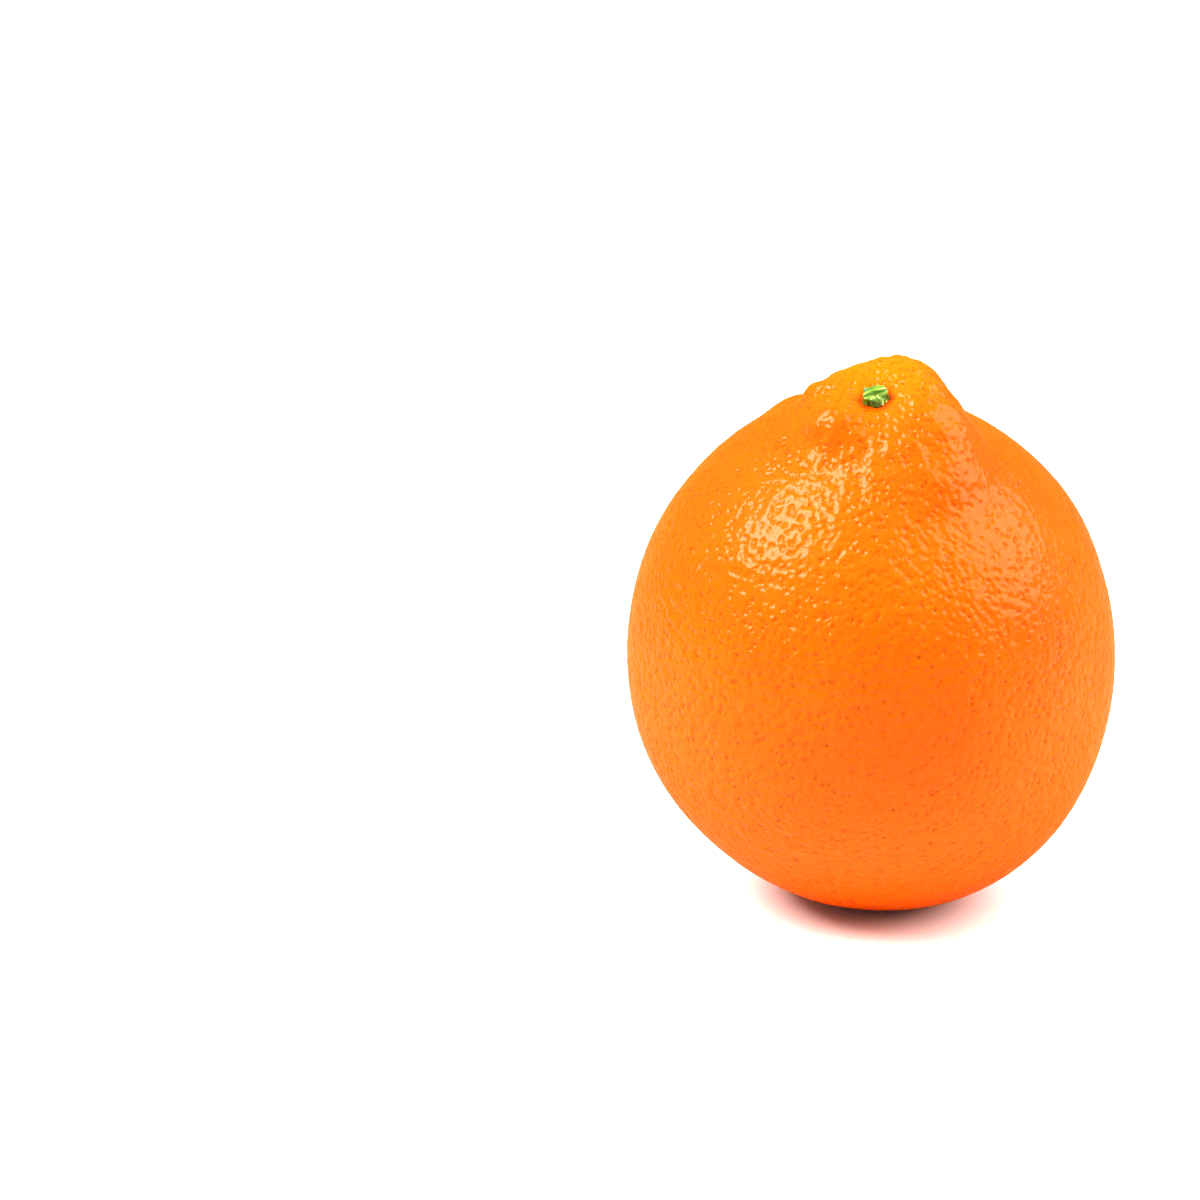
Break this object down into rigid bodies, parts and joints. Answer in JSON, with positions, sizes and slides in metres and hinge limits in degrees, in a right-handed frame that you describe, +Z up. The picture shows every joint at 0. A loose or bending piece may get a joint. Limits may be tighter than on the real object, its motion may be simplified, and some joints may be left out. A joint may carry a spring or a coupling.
{
  "type": "tangelo",
  "caption": "Whole round citrus fruit with a low folded neck, a small green calyx and a snapped stem stub, resting on a small flat spot.",
  "frame": {"origin": "middle of the small flat spot under the fruit, on which it rests", "axes": "+Z up, square to the surface it rests on; -Y is the front, towards which the stem end leans by about 15 degrees; +X is to the right seen from the front"},
  "size_m": [0.0801, 0.0805, 0.0947],
  "materials": {
    "peel": "satin",
    "calyx": "matte",
    "stem": "matte"
  },
  "bodies": {
    "root": {"fruit": "peel", "calyx": "calyx", "stem_stub": "stem"}
  },
  "joints": []
}
